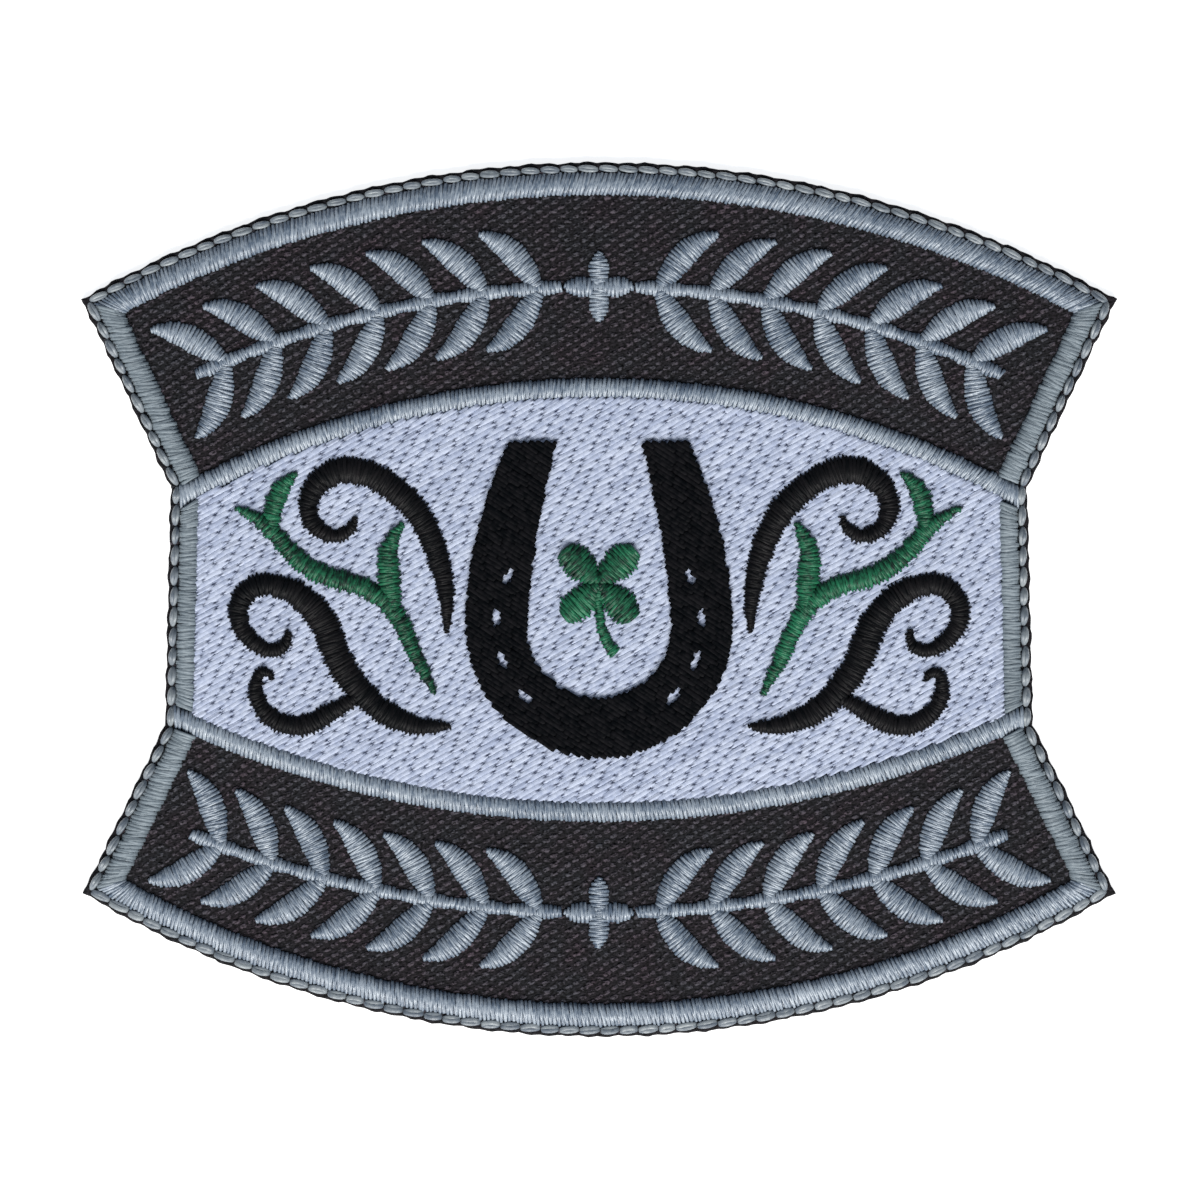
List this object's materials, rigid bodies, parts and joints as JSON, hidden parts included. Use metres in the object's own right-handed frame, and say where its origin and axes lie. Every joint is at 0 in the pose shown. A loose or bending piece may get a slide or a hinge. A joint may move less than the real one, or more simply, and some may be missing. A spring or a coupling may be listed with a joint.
{
  "type": "embroidered patch",
  "caption": "Sew-on embroidered patch of black twill with grey satin borders, a white stitched field and raised thread ornament.",
  "frame": {"origin": "middle of the flat back, under the middle of the outline's box", "axes": "+X along the patch's width to the right, +Y towards its top edge, +Z out of the embroidered face"},
  "size_m": [0.0998, 0.0842, 0.0019],
  "materials": {
    "black_twill": "matt twill weave",
    "grey_thread": "satin stitch, soft gloss",
    "white_thread": "fill stitch, soft gloss",
    "black_thread": "satin and fill stitch, soft gloss",
    "green_thread": "satin stitch, soft gloss"
  },
  "bodies": {
    "root": {"bottom_border": "grey_thread", "clover": "green_thread", "horseshoe": "black_thread", "left_lower_scroll": "black_thread", "left_upper_scroll": "black_thread", "left_vine": "green_thread", "lower_divider": "grey_thread", "lower_left_border": "grey_thread", "lower_left_sprig_1": "grey_thread", "lower_left_sprig_2": "grey_thread", "lower_left_sprig_3": "grey_thread", "lower_left_sprig_4": "grey_thread", "lower_left_sprig_5": "grey_thread", "lower_left_sprig_6": "grey_thread", "lower_left_sprig_7": "grey_thread", "lower_right_border": "grey_thread", "lower_right_sprig_1": "grey_thread", "lower_right_sprig_2": "grey_thread", "lower_right_sprig_3": "grey_thread", "lower_right_sprig_4": "grey_thread", "lower_right_sprig_5": "grey_thread", "lower_right_sprig_6": "grey_thread", "lower_right_sprig_7": "grey_thread", "lower_rosette": "grey_thread", "middle_left_border": "grey_thread", "middle_right_border": "grey_thread", "right_lower_scroll": "black_thread", "right_upper_scroll": "black_thread", "right_vine": "green_thread", "top_border": "grey_thread", "twill_ground": "black_twill", "upper_divider": "grey_thread", "upper_left_border": "grey_thread", "upper_left_sprig_1": "grey_thread", "upper_left_sprig_2": "grey_thread", "upper_left_sprig_3": "grey_thread", "upper_left_sprig_4": "grey_thread", "upper_left_sprig_5": "grey_thread", "upper_left_sprig_6": "grey_thread", "upper_left_sprig_7": "grey_thread", "upper_right_border": "grey_thread", "upper_right_sprig_1": "grey_thread", "upper_right_sprig_2": "grey_thread", "upper_right_sprig_3": "grey_thread", "upper_right_sprig_4": "grey_thread", "upper_right_sprig_5": "grey_thread", "upper_right_sprig_6": "grey_thread", "upper_right_sprig_7": "grey_thread", "upper_rosette": "grey_thread", "white_panel": "white_thread"}
  },
  "joints": []
}
